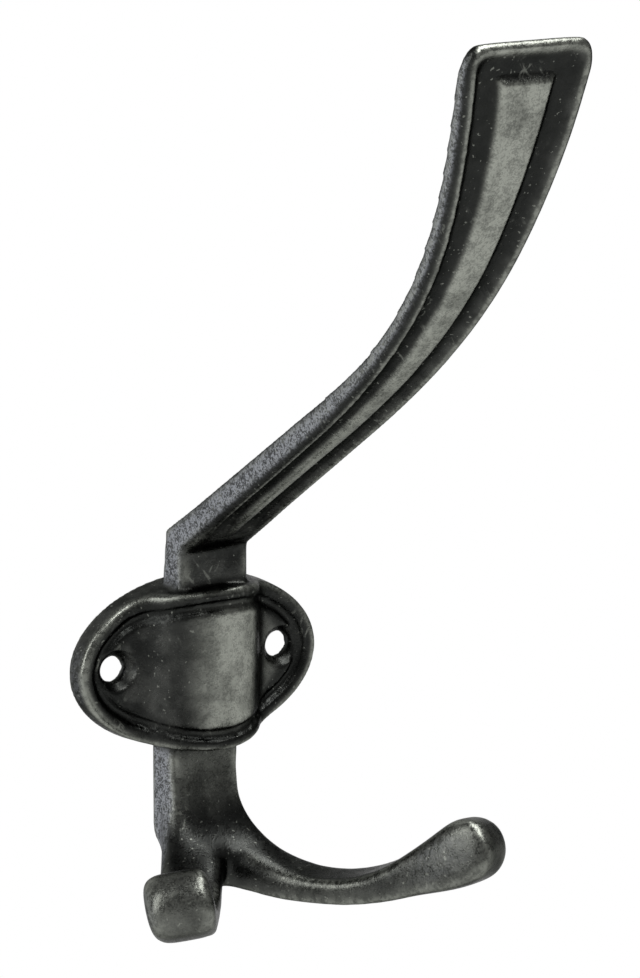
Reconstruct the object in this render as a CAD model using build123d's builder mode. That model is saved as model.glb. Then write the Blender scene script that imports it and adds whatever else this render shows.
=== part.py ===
from build123d import *
from math import atan2, cos, degrees, radians, sin, sqrt
import os

os.makedirs("parts", exist_ok=True)

# Frame: X to the right seen from the front, the wall is the plane Y = 0, the front faces -Y and Z is up.
# The origin lies on the wall, midway between the two screws.

# Screw plate: an oval with flat wings for the screws and a barrel across its middle
screw_spacing = 34.0
screw_bore = 4.6
seat_diameter = 7.6
seat_angle = 80.0
plate_length = 49.0
plate_height = 30.8
plate_drop = 0.4
plate_draft = 4.0
wing_depth = 5.0
barrel_depth_top = 13.8
barrel_depth_bottom = 12.4
barrel_foot = 15.4
barrel_blend = 6.0
bead_width = 2.3
bead_round = 1.1
wall_bevel = 1.0
groove_width = 2.0
groove_depth = 1.1
field_drop = 0.25
shell_wall = 3.0

# Upper arm seen from the side: front crest as (y, z, slope in degrees), and the thickness there
post_front = 9.9
post_back = 3.0
post_foot = 8.0
post_bend_round = 2.0
bend_back = (-4.9, 23.8)
arm_stations = [
    (-44.0, 43.0, 33.3),
    (-60.0, 54.0, 36.7),
    (-74.4, 66.0, 43.5),
    (-85.2, 78.0, 53.2),
    (-92.7, 90.0, 62.5),
    (-98.1, 102.0, 69.0),
    (-102.9, 117.4, 74.0),
]
arm_thickness = [4.7, 3.9, 3.1, 3.2, 3.3, 3.3, 3.0]

# Upper arm seen from the front, as (half width, z)
arm_outline = [(7.1, 30.0), (7.1, 46.0), (7.9, 66.0), (9.2, 84.0), (11.2, 102.0), (12.3, 112.0)]
paddle_top = 118.6
paddle_corner = 4.5
shoulder_bevel = 1.15

# Channel sunk in the arm's front, and the tapering rib that stands in it
channel_outline = [(5.2, 24.0), (5.2, 48.0), (5.95, 66.0), (7.2, 84.0), (9.25, 102.0), (10.2, 112.0)]
channel_top = 116.4
channel_corner = 2.6
channel_depth = 1.5
channel_bevel = 1.0
channel_start = 22.0
channel_full = 31.0
channel_runout = 0.3
rib_outline = [(0.6, 21.0), (0.75, 41.0), (1.35, 58.0), (2.2, 78.0), (3.0, 94.0), (4.3, 110.6)]
rib_drop = 0.15
rib_bevel = 1.1
rib_end_bevel = 1.54

# Stem seen from the side: its front sweeps forward into the prongs, its heel leaves the wall
stem_half_width = 7.1
stem_depth = 6.3
stem_round = 1.5
stem_head = -10.0
stem_sweep = [(-stem_depth, -18.0), (-8.3, -27.0), (-11.7, -31.6), (-16.2, -33.6), (-21.0, -36.0)]
stem_sweep_run = (-1, -0.4)
stem_front_run = (-1, -0.7)
stem_heel = [(-11.7, -39.4), (-4.6, -36.4), (0.0, -30.0)]
stem_heel_run = (1, 0.15)
stem_heel_rise = (0.2, 1)

# The two lower prongs, each a J in its own upright plane
prong_angle = 35.0
prong_axis_y = -2.0
prong_shift = 0.4
prong_width = 11.0
prong_outer_round = 2.0
prong_inner_round = 1.3

# Side of a prong, followed along its top, round the tip and back underneath
prong_start = (3.8, -13.7)
prong_fall = 75.0
prong_drop = 8.3
prong_throat_radius = 20.2
prong_rise_radius = 26.0
prong_rise = 36.0
prong_ramp = 9.6
prong_crown_radius = 7.0
prong_crown = 44.0
prong_tip_radius = 4.9
prong_neck = 4.7
prong_neck_back = 2.1055
prong_heel_radius = 90.0
prong_heel = 14.0
prong_back_radius = 6.5

# How far cutting blocks reach beyond the part, and how far joined pieces run into each other
wide = 30.0
far = 140.0
clear = 6.0
overlap = 1.0

# Places worked out from the sizes above
bulk = barrel_depth_top + clear
bead_inner = bead_width + barrel_depth_top * sin(radians(plate_draft)) / 2
first_y, first_z, first_slope = arm_stations[0]
bend_z = first_z - (-post_front - first_y) * sin(radians(first_slope)) / cos(radians(first_slope))
to_front = (0, -1, 0)
to_back = (0, 1, 0)
arm_front = (0, -1, -1)
arm_back = (0, 1, 1)
crest_front = (0, -0.9, -0.4)
side_plane = Plane.YZ.offset(-wide)
prong_plane = Plane(
    (0, prong_axis_y, 0),
    x_dir=(sin(radians(prong_angle)), -cos(radians(prong_angle)), 0),
    z_dir=(-cos(radians(prong_angle)), -sin(radians(prong_angle)), 0),
)


def front_plane(y, z):
    """A plane facing the front, so that a sketch on it reads as seen from the front."""
    return Plane((0, y, z), x_dir=(1, 0, 0), z_dir=to_front)


def facing(part, direction, within):
    """The faces of a part that look along a direction, within an angle in degrees."""
    along = Vector(*direction).normalized()
    return part.faces().filter_by(lambda face: face.normal_at().dot(along) > cos(radians(within)))


def rim_edges(faces):
    """The outer edges of a group of faces."""
    return [edge for edge in faces.edges() if sum(edge in face.edges() for face in faces) == 1]


def plan_region(z, apex, lift, front):
    """Plan section of the space behind the plate's front surface or, with front, before it."""
    height = apex - wing_depth
    radius = (barrel_foot**2 + height**2) / (2 * height) - barrel_blend
    touch_x = barrel_foot * radius / (radius + barrel_blend)
    touch_y = -(apex - radius + sqrt(radius**2 - touch_x**2)) - lift
    wing_y = -wing_depth - lift
    far_y = -far if front else clear
    side = plate_length
    with BuildSketch(Plane.XY.offset(z)) as region:
        with BuildLine():
            Line((-side, wing_y), (-barrel_foot, wing_y))
            TangentArc((-barrel_foot, wing_y), (-touch_x, touch_y), tangent=(1, 0))
            ThreePointArc((-touch_x, touch_y), (0, -apex - lift), (touch_x, touch_y))
            TangentArc((barrel_foot, wing_y), (touch_x, touch_y), tangent=(-1, 0))
            Line((barrel_foot, wing_y), (side, wing_y))
            Polyline((side, wing_y), (side, far_y), (-side, far_y), (-side, wing_y))
        make_face()
    return region.sketch


def plate_front(lift, front=False):
    """The space behind (or, with front, before) the plate's front surface, moved forward by lift."""
    reach = plate_height
    lean = (barrel_depth_top - barrel_depth_bottom) / 2
    low = plan_region(-reach, barrel_depth_bottom - lean, lift, front)
    high = plan_region(reach, barrel_depth_top + lean, lift, front)
    with BuildPart() as block:
        loft([low, high], ruled=True)
    return block.part


def oval_block(inset):
    """The plate's oval, made smaller by inset, raised from the wall."""
    with BuildPart() as block:
        with BuildSketch(front_plane(0, -plate_drop)):
            Ellipse(plate_length / 2 - inset, plate_height / 2 - inset)
        extrude(amount=bulk)
    return block.part


def arm_point(station, depth):
    """A point under the front crest, at a depth measured square to the arm."""
    y, z, slope = station
    return (y + depth * sin(radians(slope)), z + depth * cos(radians(slope)))


def arm_tangent(station):
    """Direction of the arm at a station, from the wall outwards."""
    slope = radians(station[2])
    return (-cos(slope), sin(slope))


def straight_point(z, depth):
    """A point of the straight stretch below the first station, at the given front height and depth."""
    reach = (first_z - z) / sin(radians(first_slope))
    return arm_point((first_y + reach * cos(radians(first_slope)), z, first_slope), depth)


def arm_curve(depths):
    """The curved stretch of the arm, at one depth for each station."""
    points = [arm_point(station, depth) for station, depth in zip(arm_stations, depths)]
    ends = [arm_tangent(arm_stations[0]), arm_tangent(arm_stations[-1])]
    return Spline(*points, tangents=ends)


def arm_slab(front, back, foot):
    """A slab that follows the arm between two depths, with its lower end sloping off at the foot."""
    out_y, out_z = arm_tangent(arm_stations[0])
    floor_end = straight_point(channel_full, back)
    with BuildPart() as slab:
        with BuildSketch(side_plane):
            with BuildLine():
                TangentArc(floor_end, foot, tangent=(-out_y, -out_z))
                Line(floor_end, arm_point(arm_stations[0], back))
                arm_curve([back] * len(arm_stations))
                Line(arm_point(arm_stations[-1], back), arm_point(arm_stations[-1], front))
                arm_curve([front] * len(arm_stations))
                Polyline(arm_point(arm_stations[0], front), straight_point(channel_start, front), foot)
            make_face()
        extrude(amount=2 * wide)
    return slab.part


def front_outline(points, top, corner=0.0):
    """Outline seen from the front: mirrored side curves, a straight foot and a rounded top."""
    first_half = points[0][0]
    last_half, last_z = points[-1]
    lean = (last_half - points[-2][0]) / (last_z - points[-2][1])
    top_half = last_half + lean * (top - last_z)
    with BuildSketch(Plane.XZ) as face:
        with BuildLine():
            for side in (1, -1):
                edge = [(side * half, z) for half, z in points]
                Line((side * first_half, 0), edge[0])
                Spline(*edge, tangents=[(0, 1), (side * lean, 1)])
            shoulders = [(last_half, last_z), (top_half, top), (-top_half, top), (-last_half, last_z)]
            if corner:
                FilletPolyline(*shoulders, radius=corner)
            else:
                Polyline(*shoulders)
            Line((-first_half, 0), (first_half, 0))
        make_face()
    return face.sketch


# Plate body, with its rolled rim in front and a bevel at the wall
with BuildPart() as plate:
    with BuildSketch(front_plane(0, -plate_drop)):
        Ellipse(plate_length / 2, plate_height / 2)
    extrude(amount=bulk, taper=plate_draft)
    add(plate_front(0), mode=Mode.INTERSECT)
    fillet(rim_edges(facing(plate, to_front, 37)), bead_round)
    chamfer(rim_edges(facing(plate, to_back, 8)), wall_bevel)

# The field inside the bead lies a little lower, with a groove along the bead
with BuildPart() as field_cut:
    add(oval_block(bead_inner))
    add(plate_front(-field_drop, front=True), mode=Mode.INTERSECT)

with BuildPart() as groove_cut:
    add(oval_block(bead_inner))
    add(oval_block(bead_inner + groove_width), mode=Mode.SUBTRACT)
    add(plate_front(-groove_depth, front=True), mode=Mode.INTERSECT)

# The plate is hollow behind
with BuildPart() as back_core:
    add(oval_block(shell_wall))
    add(plate_front(-field_drop - shell_wall), mode=Mode.INTERSECT)

# Arm: the side profile extruded across, cut to the front outline
with BuildPart() as arm:
    with BuildSketch(side_plane):
        with BuildLine():
            Line((-post_front, post_foot), (-post_front, bend_z))
            Line((-post_front, bend_z), arm_point(arm_stations[0], 0))
            arm_curve([0] * len(arm_stations))
            Line(arm_point(arm_stations[-1], 0), arm_point(arm_stations[-1], arm_thickness[-1]))
            arm_curve(arm_thickness)
            Line(arm_point(arm_stations[0], arm_thickness[0]), bend_back)
            Line(bend_back, (-post_back, post_foot))
            Line((-post_back, post_foot), (-post_front, post_foot))
        make_face()
    extrude(amount=2 * wide)
    bend = arm.edges().filter_by(Axis.X).sort_by_distance((0, -post_front, bend_z))[0]
    fillet(bend, post_bend_round)
    extrude(front_outline(arm_outline, paddle_top, paddle_corner), amount=far, mode=Mode.INTERSECT)
    crest_edges = rim_edges(facing(arm, crest_front, 56))
    chamfer([edge for edge in crest_edges if edge.center().Z > post_foot + overlap], shoulder_bevel)

# Channel: its floor rises to the surface at the bend
with BuildPart() as channel:
    add(arm_slab(-clear, channel_depth, straight_point(channel_start, -channel_runout)))
    extrude(front_outline(channel_outline, channel_top, channel_corner), amount=far, mode=Mode.INTERSECT)
    chamfer(rim_edges(facing(channel, arm_back, 32)), channel_bevel)

with BuildPart() as rib:
    rib_foot = [(half + rib_bevel, z) for half, z in rib_outline]
    rib_top = rib_outline[-1][1] + rib_end_bevel
    add(arm_slab(rib_drop, channel_depth + overlap, straight_point(channel_start, channel_depth)))
    extrude(front_outline(rib_foot, rib_top), amount=far, mode=Mode.INTERSECT)
    chamfer(rim_edges(facing(rib, arm_front, 32)), rib_bevel)

# Stem: it swells forward to meet the prongs
with BuildPart() as stem:
    with BuildSketch(Plane.YZ.offset(-stem_half_width)):
        with BuildLine():
            Spline(*stem_sweep[:3], tangents=[(0, -1), stem_front_run])
            Line(stem_sweep[2], stem_heel[0])
            Spline(*stem_heel, tangents=[stem_heel_run, stem_heel_rise])
            Polyline(stem_heel[-1], (0, stem_head), (-stem_depth, stem_head), stem_sweep[0])
        make_face()
    extrude(amount=2 * stem_half_width)
    for side in (-1, 1):
        edges = facing(stem, (side, 0, 0), 8).edges()
        front_edges = [edge for edge in edges if edge.center().Y < -wing_depth]
        fillet([edge for edge in front_edges if edge.center().Z > stem_sweep[2][1]], stem_round)

# Prong: the J extruded across its plane, rounded, and cut back to the sweep of the stem
with BuildPart() as prong:
    with BuildSketch(prong_plane.offset(-prong_width / 2 + prong_shift)):
        with BuildLine():
            drop = PolarLine(prong_start, prong_drop, angle=-prong_fall)
            throat = JernArc(drop @ 1, drop % 1, prong_throat_radius, prong_fall)
            rise = JernArc(throat @ 1, throat % 1, prong_rise_radius, prong_rise)
            ramp = PolarLine(rise @ 1, prong_ramp, angle=prong_rise)
            crown = JernArc(ramp @ 1, ramp % 1, prong_crown_radius, -prong_crown)
            nod = prong_rise - prong_crown
            centre_x = (crown @ 1).X + prong_tip_radius * sin(radians(nod))
            centre_y = (crown @ 1).Y - prong_tip_radius * cos(radians(nod))
            # The underside is one arc from the tip to its lowest point, which keeps the neck's thickness
            run = centre_x - (throat @ 1).X + prong_neck_back
            sag = centre_y - prong_tip_radius - (throat @ 1).Y + prong_neck
            under_slope = 2 * degrees(atan2(sag, run))
            under_radius = prong_tip_radius + run / sin(radians(under_slope))
            tip = JernArc(crown @ 1, crown % 1, prong_tip_radius, under_slope - nod - 180)
            under = JernArc(tip @ 1, tip % 1, under_radius, -under_slope)
            heel = JernArc(under @ 1, under % 1, prong_heel_radius, -prong_heel)
            back = JernArc(heel @ 1, heel % 1, prong_back_radius, prong_heel - 90)
            Polyline(back @ 1, ((back @ 1).X, prong_start[1]), prong_start)
        make_face()
    extrude(amount=prong_width)
    for side, radius in ((-1, prong_outer_round), (1, prong_inner_round)):
        edges = facing(prong, side * prong_plane.z_dir, 8).edges()
        fillet([edge for edge in edges if edge.center().Z < prong_start[1] - overlap], radius)
    with BuildSketch(side_plane):
        with BuildLine():
            Spline(*stem_sweep, tangents=[(0, -1), stem_sweep_run])
            Polyline(stem_sweep[-1], (stem_sweep[-1][0], 0), (stem_sweep[0][0], 0), stem_sweep[0])
        make_face()
    extrude(amount=2 * wide, mode=Mode.SUBTRACT)

with BuildPart() as hook:
    add(plate.part)
    add(field_cut.part, mode=Mode.SUBTRACT)
    add(groove_cut.part, mode=Mode.SUBTRACT)
    add(back_core.part, mode=Mode.SUBTRACT)
    add(arm.part)
    add(channel.part, mode=Mode.SUBTRACT)
    add(rib.part)
    add(stem.part)
    add(prong.part)
    add(mirror(prong.part, about=Plane.YZ))
    # Behind the wall nothing remains
    Box(2 * far, far, 4 * far, align=(Align.CENTER, Align.MIN, Align.CENTER), mode=Mode.SUBTRACT)
    # Countersunk holes for the screws, each with a round seat sunk through the bead
    with Locations(front_plane(field_drop - wing_depth, 0)):
        with Locations((-screw_spacing / 2, 0), (screw_spacing / 2, 0)):
            CounterSinkHole(screw_bore / 2, seat_diameter / 2, depth=bulk, counter_sink_angle=seat_angle)
            seat_align = (Align.CENTER, Align.CENTER, Align.MIN)
            Cylinder(seat_diameter / 2, bulk, align=seat_align, mode=Mode.SUBTRACT)

hook.part.label = "hook"
export_step(hook.part, "parts/hook.step")
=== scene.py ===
import math

import bpy
import numpy as np
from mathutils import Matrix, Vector


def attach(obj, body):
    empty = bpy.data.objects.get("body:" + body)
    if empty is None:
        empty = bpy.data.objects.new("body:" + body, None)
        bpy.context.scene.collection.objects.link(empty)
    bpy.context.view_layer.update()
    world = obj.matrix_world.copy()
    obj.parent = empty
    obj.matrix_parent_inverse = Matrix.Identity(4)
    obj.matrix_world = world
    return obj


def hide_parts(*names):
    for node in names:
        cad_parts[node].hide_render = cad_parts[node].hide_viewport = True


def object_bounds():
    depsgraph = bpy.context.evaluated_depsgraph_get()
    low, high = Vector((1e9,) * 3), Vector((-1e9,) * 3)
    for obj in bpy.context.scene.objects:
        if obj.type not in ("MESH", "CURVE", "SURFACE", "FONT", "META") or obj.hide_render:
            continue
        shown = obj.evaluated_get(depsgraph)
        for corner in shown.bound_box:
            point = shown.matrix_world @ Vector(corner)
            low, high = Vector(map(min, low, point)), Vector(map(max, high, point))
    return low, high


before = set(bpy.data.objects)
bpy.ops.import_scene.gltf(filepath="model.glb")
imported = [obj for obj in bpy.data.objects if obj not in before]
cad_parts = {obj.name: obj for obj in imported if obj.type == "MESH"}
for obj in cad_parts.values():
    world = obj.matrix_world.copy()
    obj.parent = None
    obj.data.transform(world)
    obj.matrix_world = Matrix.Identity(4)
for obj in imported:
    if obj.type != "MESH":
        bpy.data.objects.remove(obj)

cad_low, cad_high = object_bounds()

MM = 0.001

# Mesh of the casting, fine enough for its edges and below 200,000 triangles
VOXEL = 0.46 * MM
WELD = 0.002 * MM

# Rounds of smoothing: over the whole mesh, then more where a casting is rounder than the CAD part
SETTLE_ROUNDS = 2
CREST_ROUNDS = 7
TOP_ROUNDS = 18
LOWER_ROUNDS = 18
PAD_ROUNDS = 34
ROOT_ROUNDS = 67

# Rounds of smoothing that relief is measured against: small for edges, large for faces and channels
NEAR_ROUNDS = 6
FAR_ROUNDS = 55

# Places on the hook, in millimetres: X across, Y out from the wall as a negative number, Z up
ARM_FOOT = (22, 30)  # levels between which the post gives way to the arm
BARREL_HALF_WIDTH = 11.5
BARREL_HALF_HEIGHT = 11.5
BARREL_MIDDLE = -0.4  # level of the plate's middle
BARREL_WEAR_AND_SHEEN = 3.6  # middle of the lighter band across the barrel: rubbed wear with a painted sheen
PLATE_FOOT = (-17.5, -15.0)  # levels between which the stem gives way to the plate
PLATE_HALF = (24.5, 15.4)  # half the oval's width and height, at the wall
PLATE_DRAFT = math.tan(math.radians(4))
PRONG_TURN = math.radians(35)  # turn of each prong from the middle plane
PRONG_FOOT_Y = -2.0  # where both prongs' planes cross
PAD_REACH = 53.0  # middle of a pad, along its prong
PAD_LEVEL = -29.7
PAD_SLOPE = 0.42
PAD_TWIST = math.radians(11)
PAD_GROWTH = (0.05, 0.13)  # across and in height
ROOT = np.array([3.5, -12.5, -32.0])  # where a prong leaves the stem

# How light each place is painted, where the rib and the barrel show 1: rubbed bare metal, and
# painted highlights on the crests, the bead, the barrel and the plate's right field
CREST_RUB_AND_HIGHLIGHT = 0.55
BEAD_HIGHLIGHT = 0.55
STEM_RUB = 0.28
FIELD_LIGHT = 0.20
PAD_RUB = 0.17
RIDGE_RUB = 0.10

# How dark the prongs' root is painted, as painted shade that dims a lamp's highlight there, and how
# much darker their shanks are made
ROOT_SHADE = 0.9
SHANK_DARKENING = 0.55


class Skin:
    """The vertices of a mesh with their neighbours, as arrays."""

    def __init__(self, mesh):
        self.mesh = mesh
        count = len(mesh.vertices)
        points = np.empty(count * 3)
        mesh.vertices.foreach_get("co", points)
        self.points = points.reshape(-1, 3)
        edges = np.empty(len(mesh.edges) * 2, dtype=np.int64)
        mesh.edges.foreach_get("vertices", edges)
        self.first, self.second = edges.reshape(-1, 2).T
        self.degree = np.maximum(np.bincount(edges, minlength=count), 1)

    def around(self, values):
        """Mean of each vertex's neighbours."""
        count = len(values)
        total = np.bincount(self.first, values[self.second], minlength=count)
        total += np.bincount(self.second, values[self.first], minlength=count)
        return total / self.degree

    def around_points(self, points):
        return np.column_stack([self.around(points[:, axis]) for axis in range(3)])

    def settle(self, rounds):
        """Smooths without shrinking, by a step in and a step out."""
        for _ in range(rounds):
            for step in (0.5, -0.52):
                self.points = self.points + step * (self.around_points(self.points) - self.points)

    def soften(self, weight, rounds):
        """Rounds off the places where the weight is above zero."""
        for _ in range(rounds):
            pull = self.around_points(self.points) - self.points
            self.points = self.points + 0.5 * weight[:, None] * pull

    def store(self):
        """Writes the points back, held inside the CAD part's box."""
        self.points = np.clip(self.points, np.array(cad_low), np.array(cad_high))
        self.mesh.vertices.foreach_set("co", self.points.ravel())
        self.mesh.update()

    def normals(self):
        out = np.empty(len(self.points) * 3)
        self.mesh.vertices.foreach_get("normal", out)
        return out.reshape(-1, 3)

    def spread(self, values, rounds):
        """Blurs values over the surface."""
        for _ in range(rounds):
            values = 0.5 * values + 0.5 * self.around(values)
        return values

    def relief(self, rounds):
        """How far each point stands above the smoothed surface around it, in millimetres."""
        smooth = self.points
        for _ in range(rounds):
            smooth = self.around_points(smooth)
        height = ((self.points - smooth) * self.normals()).sum(axis=1)
        return self.spread(height / MM, 4)

    def paint(self, name, values):
        """Stores one value a vertex, for the material to read."""
        soft = np.ascontiguousarray(self.spread(values, 3), dtype=np.float32)
        self.mesh.attributes.new(name, "FLOAT", "POINT").data.foreach_set("value", soft)


def casting(node):
    """A finely meshed copy of a CAD node, as a new object."""
    coarse = node.data.copy()
    coarse.transform(node.matrix_world)
    draft = bpy.data.objects.new("draft", coarse)
    bpy.context.scene.collection.objects.link(draft)
    weld = draft.modifiers.new("weld", "WELD")
    weld.merge_threshold = WELD
    remesh = draft.modifiers.new("remesh", "REMESH")
    remesh.mode = "VOXEL"
    remesh.voxel_size = VOXEL
    remesh.adaptivity = 0.0
    graph = bpy.context.evaluated_depsgraph_get()
    fine = bpy.data.meshes.new_from_object(draft.evaluated_get(graph))
    bpy.data.objects.remove(draft)
    piece = bpy.data.objects.new("casting", fine)
    bpy.context.scene.collection.objects.link(piece)
    return piece


def ramp(values, start, end):
    """0 at start, 1 at end, smooth between them."""
    share = np.clip((values - start) / (end - start), 0, 1)
    return share * share * (3 - 2 * share)


def zone(points, centre, inner, outer):
    """1 within inner of a point and of its mirror image, 0 beyond outer."""
    folded = np.column_stack([np.abs(points[:, 0]), points[:, 1], points[:, 2]])
    return ramp(np.linalg.norm(folded - centre, axis=1), outer, inner)


def lanes(points):
    """How far across its level each point is, 0 to 1, and how far in from the side it is."""
    half, level = np.abs(points[:, 0]) / MM, points[:, 2] / MM
    rows = np.round(level - level.min()).astype(int)
    widest = np.zeros(rows.max() + 1)
    np.maximum.at(widest, rows, half)
    return half / widest[rows], widest[rows] - half


def prong_place(points):
    """Distance along a prong's upright plane and square to it, outwards, in millimetres."""
    half, out = np.abs(points[:, 0]) / MM, points[:, 1] / MM - PRONG_FOOT_Y
    sine, cosine = math.sin(PRONG_TURN), math.cos(PRONG_TURN)
    return half * sine - out * cosine, half * cosine + out * sine


def shape_pads(points):
    """Turns each prong about its own line towards the tip, outer side down, and swells its end."""
    along, off = prong_place(points)
    rise = points[:, 2] / MM - PAD_LEVEL - PAD_SLOPE * (along - PAD_REACH)
    below_plate = ramp(points[:, 2] / MM, -19, -21)
    angle = PAD_TWIST * ramp(along, 30, 50) * below_plate
    swell = ramp(along, 42, 52) * below_plate
    wider, taller = 1 + PAD_GROWTH[0] * swell, 1 + PAD_GROWTH[1] * swell
    shift = wider * off * np.cos(angle) + taller * rise * np.sin(angle) - off
    lift = taller * rise * np.cos(angle) - wider * off * np.sin(angle) - rise
    mirror = np.sign(points[:, 0])
    move = [mirror * shift * math.cos(PRONG_TURN), shift * math.sin(PRONG_TURN), lift]
    return points + np.column_stack(move) * MM


hook = casting(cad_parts["hook"])
skin = Skin(hook.data)
skin.settle(SETTLE_ROUNDS)
lane, inset = lanes(skin.points)
level = skin.points[:, 2] / MM
off_wall = ramp(-skin.points[:, 1] / MM, 0.5, 2.5)
skin.soften(ramp(level, 24, 30) * ramp(lane, 0.62, 0.72), CREST_ROUNDS)
skin.soften(ramp(level, 112.4, 114.4), TOP_ROUNDS)
skin.soften(ramp(level, -17, -21) * off_wall, LOWER_ROUNDS)
prong_end = ramp(prong_place(skin.points)[0], 38, 48)
skin.soften(ramp(level, -20, -24) * prong_end, PAD_ROUNDS)
skin.soften(zone(skin.points / MM, ROOT, 6, 13) * off_wall, ROOT_ROUNDS)
skin.points = shape_pads(skin.points)
skin.store()
hook.data.polygons.foreach_set("use_smooth", [True] * len(hook.data.polygons))

near = skin.relief(NEAR_ROUNDS)
far = skin.relief(FAR_ROUNDS)
across, inward, upward = skin.points.T / MM
facing_x, facing_y, facing_z = skin.normals().T

arm = ramp(upward, *ARM_FOOT)
plate = (1 - arm) * ramp(upward, *PLATE_FOOT)
lower = 1 - ramp(upward, *PLATE_FOOT)
arm_face = arm * ramp(-0.8 * facing_y - 0.6 * facing_z, 0.35, 0.7)

# Where each tone belongs. The ramps' limits are millimetres, shares of a half width or of the
# oval, and parts of a unit normal.

# Lighter places: rubbed by hands, hats and straps, with painted highlights along the crests and the
# bead, a painted sheen across the barrel and painted light on the plate's right field
rib = arm_face * ramp(far, -0.02, 0.12) * ramp(lane, 0.62, 0.5)
# Crests: rubbed lighter along the arm's sides, with a painted highlight on them; the paddle's top
# edge is a painted highlight
side_crest = arm_face * ramp(upward, 27, 33) * ramp(inset, 0.7, 1.1) * ramp(inset, 2.2, 1.6)
top_crest_highlight = arm * ramp(upward, 115.0, 116.0) * ramp(-facing_y, 0.3, 0.6)
crest = np.maximum(side_crest, top_crest_highlight)
above_middle = upward - BARREL_MIDDLE
barrel_side = np.abs(across - BARREL_WEAR_AND_SHEEN)
barrel_end = np.abs(above_middle)
# Barrel: rubbed lighter, with a painted sheen in a band off its middle
barrel = ramp(-inward, 9.5, 11.5)
barrel = barrel * ramp(barrel_side, BARREL_HALF_WIDTH, BARREL_HALF_WIDTH - 8)
barrel = barrel * ramp(barrel_end, BARREL_HALF_HEIGHT + 1, BARREL_HALF_HEIGHT - 1)
along = prong_place(skin.points)[0]
pads = ramp(along, 38, 50) * lower
draft = -inward * PLATE_DRAFT
oval = np.hypot(across / (PLATE_HALF[0] - draft), above_middle / (PLATE_HALF[1] - draft))
# Painted light: the plate's field right of the barrel is lighter, on that side only
right_field_light = plate * ramp(oval, 0.72, 0.66) * ramp(across, 12, 14)
# Painted highlight along the front of the plate's raised edge
bead_highlight = plate * ramp(oval, 0.935, 0.965) * ramp(near, 0.03, 0.12) * ramp(-facing_y, 0.1, 0.5)
ridge = lower * ramp(near, 0.02, 0.09)
stem = lower * (1 - pads) * ramp(-facing_y, 0.3, 0.7)
# Painted shade at the prongs' root; it also takes the stem's lighter tone away there
root = zone(skin.points / MM, ROOT, 5, 11)
rub_and_highlight = rib + CREST_RUB_AND_HIGHLIGHT * crest + barrel + PAD_RUB * pads + BEAD_HIGHLIGHT * bead_highlight + RIDGE_RUB * ridge
rub_and_highlight = rub_and_highlight + STEM_RUB * stem * (1 - root) + FIELD_LIGHT * right_field_light

# Darker places: the dark finish kept in the arm's channels and the plate's groove, painted shade on
# the arm's shoulders, the bead's inner slope and the prongs' root, and darker prong shanks
sideways = np.abs(facing_x)
channel = arm_face * ramp(far, 0.02, -0.12) * ramp(inset, 2.4, 3.0)
# Painted shade on the bevels between the arm's side faces and its crests
shoulder_shade = arm * ramp(inset, 1.3, 0.9) * ramp(sideways, 0.3, 0.45) * ramp(sideways, 0.95, 0.88)
# Dark finish in the groove, and painted shade on the bead's inner slope
groove = plate * ramp(oval, 0.965, 0.930) * ramp(oval, 0.68, 0.74)
# Darker along the prongs' shanks
shank = lower * ramp(along, 12, 20) * ramp(along, 48, 36)
dark_finish_and_shade = channel + groove + shoulder_shade + ROOT_SHADE * root + SHANK_DARKENING * shank

# Side faces, left rough from the mould
flank = ramp(sideways, 0.80, 0.95)
stem_side = flank * ramp(np.abs(across), 6.2, 6.8) * ramp(-inward, 16, 12) * lower
post_side = ramp(upward, 14, 16) * flank * (1 - arm)
side = flank * (arm + 0.18 * plate + 0.25 * lower) + post_side + stem_side

# Edges that wear light, less on the plate and hardly in its groove
edge = near * (1 - 0.30 * plate) * (1 - 0.8 * groove) * (1 - shoulder_shade)

skin.paint("edge", edge)
skin.paint("rub_and_highlight", np.clip(rub_and_highlight, 0, 1))
skin.paint("dark_finish_and_shade", np.clip(dark_finish_and_shade, 0, 1))
skin.paint("side", np.clip(side, 0, 1))


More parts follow.
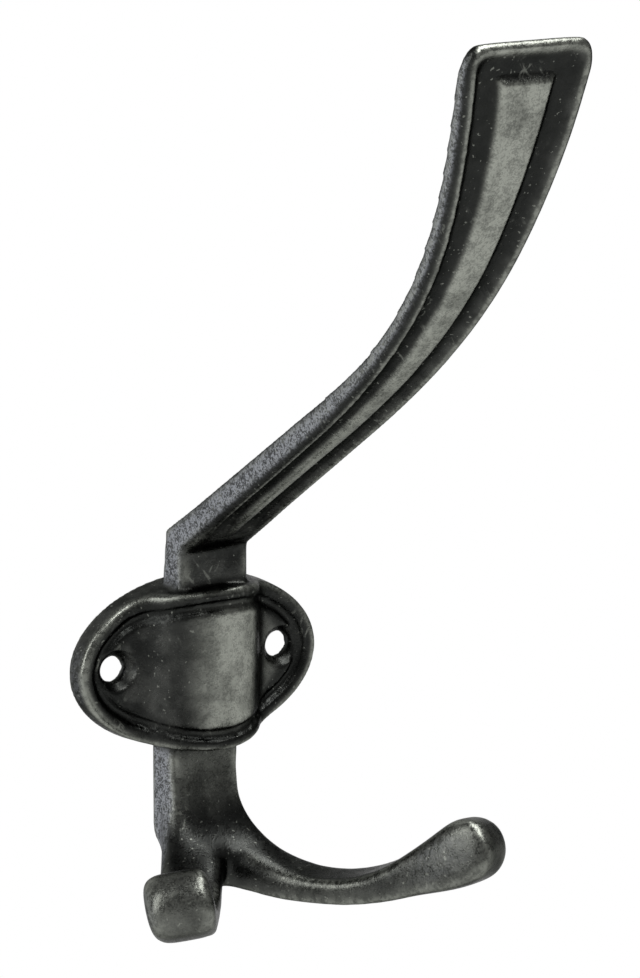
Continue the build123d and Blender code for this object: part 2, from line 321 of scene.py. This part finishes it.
class Nodes:
    """A node material, with short ways to add nodes."""

    def __init__(self, name):
        self.material = bpy.data.materials.new(name)
        self.material.use_nodes = True
        self.tree = self.material.node_tree
        self.tree.nodes.clear()

    def add(self, kind, **settings):
        node = self.tree.nodes.new(kind)
        for key, value in settings.items():
            setattr(node, key, value)
        return node

    def put(self, socket, value):
        if isinstance(value, bpy.types.NodeSocket):
            self.tree.links.new(value, socket)
        else:
            socket.default_value = value

    def maths(self, operation, a, b=0.0):
        node = self.add("ShaderNodeMath", operation=operation)
        self.put(node.inputs[0], a)
        self.put(node.inputs[1], b)
        return node.outputs[0]

    def times(self, a, b):
        return self.maths("MULTIPLY", a, b)

    def plus(self, a, b):
        return self.maths("ADD", a, b)

    def band(self, value, low, high, out_low=0.0, out_high=1.0):
        node = self.add("ShaderNodeMapRange", interpolation_type="SMOOTHSTEP")
        self.put(node.inputs["Value"], value)
        self.put(node.inputs["From Min"], low)
        self.put(node.inputs["From Max"], high)
        self.put(node.inputs["To Min"], out_low)
        self.put(node.inputs["To Max"], out_high)
        return node.outputs[0]

    def noise(self, where, scale, detail, rough):
        node = self.add("ShaderNodeTexNoise")
        self.put(node.inputs["Vector"], where)
        self.put(node.inputs["Scale"], scale)
        self.put(node.inputs["Detail"], detail)
        self.put(node.inputs["Roughness"], rough)
        return node.outputs["Fac"]

    def mix(self, share, a, b):
        node = self.add("ShaderNodeMix", data_type="RGBA")
        self.put(node.inputs["Factor"], share)
        self.put(node.inputs["A"], a)
        self.put(node.inputs["B"], b)
        return node.outputs["Result"]

    def attribute(self, name):
        return self.add("ShaderNodeAttribute", attribute_name=name).outputs["Fac"]

    def strokes(self, where, turn, scale):
        """Short fine lines along one direction."""
        mapping = self.add("ShaderNodeMapping", vector_type="TEXTURE")
        self.put(mapping.inputs["Vector"], where)
        mapping.inputs["Rotation"].default_value = turn
        mapping.inputs["Scale"].default_value = (5.0, 0.6, 0.6)
        return self.band(self.noise(mapping.outputs[0], scale, 2.0, 0.5), 0.60, 0.70)


# Colours: the dark finish, also used for painted shade, its patina, rubbed metal, also used for
# painted highlights, and the rough side faces
DARK = (0.019, 0.020, 0.019, 1)
MIDDLE = (0.070, 0.072, 0.067, 1)
LIGHT = (0.345, 0.358, 0.318, 1)
RAW = (0.370, 0.385, 0.412, 1)

# Noise scales, in cycles a metre
FINE = 3000.0
GRAIN = 900.0
BLOTCH = 260.0
CLOUD = 90.0
PATCH = 120.0
SPECKS = 1500.0

BUMP_DEPTH = 0.10 * MM


def antique_metal():
    """Dark antique metal, rubbed light, with painted highlights and painted shade, where the
    painted values say so.
    """
    n = Nodes("antique_metal")
    place = n.add("ShaderNodeTexCoord").outputs["Object"]
    fine = n.band(n.noise(place, FINE, 2.0, 0.55), 0.36, 0.64)
    grain = n.band(n.noise(place, GRAIN, 4.0, 0.65), 0.35, 0.65)
    blotch = n.band(n.noise(place, BLOTCH, 4.0, 0.6), 0.35, 0.65)
    cloud = n.band(n.noise(place, CLOUD, 4.0, 0.6), 0.32, 0.68)
    speckle = n.plus(n.times(fine, 0.55), n.times(grain, 0.45))

    # Dark finish with a cloudy patina
    patina = n.plus(n.times(blotch, 0.5), n.times(cloud, 0.4))
    base = n.mix(patina, DARK, MIDDLE)
    # Rough side faces
    raw = n.times(n.attribute("side"), n.band(speckle, 0.25, 0.75, 0.15, 1.1))
    base = n.mix(raw, base, RAW)
    # Rubbed faces and painted highlights, with dark pores and clouds left in them
    pores = n.band(speckle, 0.15, 0.8, 0.55, 1.08)
    worn_and_highlit = n.times(n.times(n.attribute("rub_and_highlight"), pores), n.band(patina, 0.1, 0.8, 0.62, 1.05))
    base = n.mix(worn_and_highlit, base, LIGHT)
    # The dark finish in hollows, painted shade, and the darker prong shanks
    base = n.mix(n.times(n.attribute("dark_finish_and_shade"), 0.8), base, DARK)
    # Thin light wear along sharp edges
    sharp = n.times(n.band(n.attribute("edge"), 0.045, 0.13), n.band(grain, 0.1, 0.9, 0.15, 0.5))
    base = n.mix(sharp, base, LIGHT)
    # Scuffs and scratches in patches
    patch = n.band(n.noise(place, PATCH, 3.0, 0.5), 0.54, 0.66)
    one_way = n.strokes(place, (0.3, 0.9, 0.2), 800.0)
    other_way = n.strokes(place, (0.2, -1.1, 0.4), 700.0)
    scuffs = n.maths("MAXIMUM", one_way, other_way)
    base = n.mix(n.times(n.times(scuffs, patch), 0.32), base, LIGHT)
    specks = n.band(n.noise(place, SPECKS, 1.0, 0.5), 0.70, 0.76)
    base = n.mix(n.times(specks, 0.4), base, LIGHT)

    shader = n.add("ShaderNodeBsdfPrincipled")
    n.put(shader.inputs["Base Color"], base)
    n.put(shader.inputs["Metallic"], 1.0)
    n.put(shader.inputs["Specular Tint"], (0.4, 0.4, 0.4, 1))
    rough = n.plus(n.band(speckle, 0.0, 1.0, 0.24, 0.40), n.times(n.attribute("side"), 0.12))
    n.put(shader.inputs["Roughness"], rough)
    bump = n.add("ShaderNodeBump")
    n.put(bump.inputs["Strength"], 0.5)
    n.put(bump.inputs["Distance"], BUMP_DEPTH)
    height = n.times(speckle, n.band(n.attribute("side"), 0.0, 1.0, 0.45, 1.1))
    n.put(bump.inputs["Height"], n.plus(height, n.times(patina, 0.6)))
    n.put(shader.inputs["Normal"], bump.outputs[0])
    out = n.add("ShaderNodeOutputMaterial")
    n.put(out.inputs["Surface"], shader.outputs[0])
    return n.material


hook.data.materials.clear()
hook.data.materials.append(antique_metal())
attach(hook, "root")
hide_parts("hook")


# Studio: the floor's level and reach, and the backdrop's distance and top
FLOOR = -0.45
REACH = 3.0
BACKDROP = 2.6
BACKDROP_TOP = 3.0
AIM = Vector((0, -0.03, 0.03))
WORLD_STRENGTH = 0.3


def studio_white():
    """White to the camera, in reflections and through glass; pale and matt to other light."""
    n = Nodes("studio_white")
    matt = n.add("ShaderNodeBsdfDiffuse")
    n.put(matt.inputs["Color"], (0.9, 0.9, 0.9, 1))
    glow = n.add("ShaderNodeEmission")
    n.put(glow.inputs["Strength"], 1.0)
    path = n.add("ShaderNodeLightPath").outputs
    seen = n.maths("MAXIMUM", path["Is Camera Ray"], path["Is Glossy Ray"])
    blend = n.add("ShaderNodeMixShader")
    n.put(blend.inputs["Fac"], n.maths("MAXIMUM", seen, path["Is Transmission Ray"]))
    n.put(blend.inputs[1], matt.outputs[0])
    n.put(blend.inputs[2], glow.outputs[0])
    out = n.add("ShaderNodeOutputMaterial")
    n.put(out.inputs["Surface"], blend.outputs[0])
    return n.material


def sheet(name, corners, material):
    """One flat face of the studio."""
    data = bpy.data.meshes.new(name)
    data.from_pydata(corners, [], [(0, 1, 2, 3)])
    obj = bpy.data.objects.new(name, data)
    bpy.context.scene.collection.objects.link(obj)
    data.materials.append(material)


def lamp(name, place, size, power):
    """A soft rectangular lamp, aimed at the hook."""
    data = bpy.data.lights.new(name, "AREA")
    data.shape = "RECTANGLE"
    data.size, data.size_y = size
    data.energy = power
    obj = bpy.data.objects.new(name, data)
    obj.location = place
    obj.rotation_euler = (AIM - Vector(place)).to_track_quat("-Z", "Y").to_euler()
    bpy.context.scene.collection.objects.link(obj)


white = studio_white()
ground = [(-REACH, -REACH, FLOOR), (REACH, -REACH, FLOOR)]
ground += [(REACH, BACKDROP, FLOOR), (-REACH, BACKDROP, FLOOR)]
sheet("floor", ground, white)
wall = [(-REACH, BACKDROP, FLOOR), (REACH, BACKDROP, FLOOR)]
wall += [(REACH, BACKDROP, BACKDROP_TOP), (-REACH, BACKDROP, BACKDROP_TOP)]
sheet("backdrop", wall, white)

lamp("key", (0.25, -0.20, 0.87), (1.3, 0.35), 12.0)
lamp("left", (-0.85, -0.15, 0.35), (0.3, 0.9), 3.5)

world = bpy.data.worlds.new("studio")
world.use_nodes = True
bpy.context.scene.world = world
background = world.node_tree.nodes["Background"]
background.inputs["Color"].default_value = (1, 1, 1, 1)
background.inputs["Strength"].default_value = WORLD_STRENGTH

# Camera of the photograph: turned to the left of the hook's front and looking a little down
YAW, PITCH = math.radians(33.6), math.radians(11.93)
FOCAL_PX, TALL_PX = 5004.0, 978.0
CAMERA_PLACE = (-0.4522, -0.7231, 0.2095)
lens = bpy.data.cameras.new("camera")
lens.sensor_fit = "VERTICAL"
lens.sensor_height = 36.0
lens.lens = lens.sensor_height * FOCAL_PX / TALL_PX
lens.clip_start, lens.clip_end = 0.01, 20
camera = bpy.data.objects.new("camera", lens)
camera.location = CAMERA_PLACE
camera.rotation_euler = (math.pi / 2 - PITCH, 0, -YAW)
bpy.context.scene.collection.objects.link(camera)
bpy.context.scene.camera = camera
bpy.context.scene.view_settings.view_transform = "Standard"
